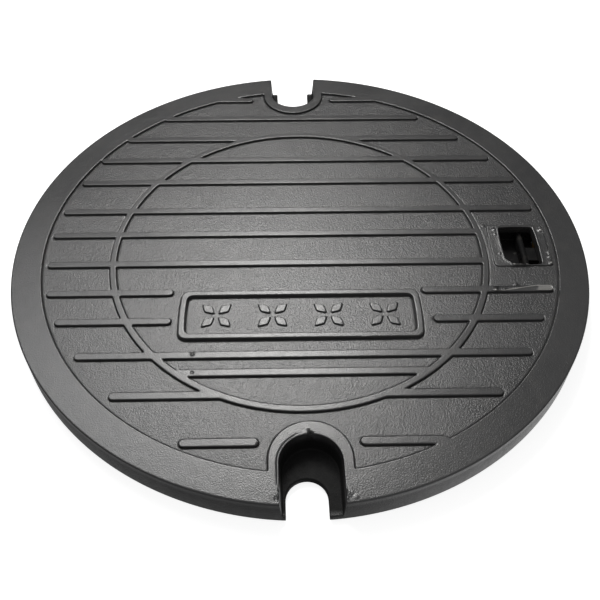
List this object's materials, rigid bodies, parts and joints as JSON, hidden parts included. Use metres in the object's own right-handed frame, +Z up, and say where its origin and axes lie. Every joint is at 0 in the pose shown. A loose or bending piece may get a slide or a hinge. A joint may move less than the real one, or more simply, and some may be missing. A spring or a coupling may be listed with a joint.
{
  "type": "manhole cover",
  "caption": "Round cast-iron manhole cover with a bar and ring tread, a framed panel, two pry notches and a key window over a sliding lock bolt.",
  "frame": {"origin": "centre of the rim on the plane that the seat rubber stands on", "axes": "+Z up, square to the top; +X to the side with the key window; -Y to the front pry notch"},
  "size_m": [0.65, 0.6491, 0.035],
  "materials": {
    "cast_iron": "dark satin coating over sand-cast iron",
    "rubber": "matt black",
    "steel": "zinc plated",
    "blackened_steel": "black oxide, oiled",
    "bronze": "machined bearing bronze",
    "coated_steel": "black coated sheet"
  },
  "bodies": {
    "cover_body": {"cover": "cast_iron", "seat_rubber_left": "rubber", "seat_rubber_right": "rubber", "bolt_guide": "bronze", "guide_screws": "steel", "bolt_seal": "rubber", "detent_ball": "steel", "detent_spring": "steel", "detent_screw": "steel", "pocket_pan": "coated_steel", "pan_gasket": "rubber", "pan_screws": "steel"},
    "bolt_body": {"lock_bolt": "blackened_steel", "pull_bar": "blackened_steel", "pull_bar_screws": "blackened_steel"}
  },
  "joints": [
    {"name": "bolt_slide", "type": "slide", "parent": "cover_body", "child": "bolt_body", "axis": [1, 0, 0], "range_m": [0, 0.012]}
  ]
}
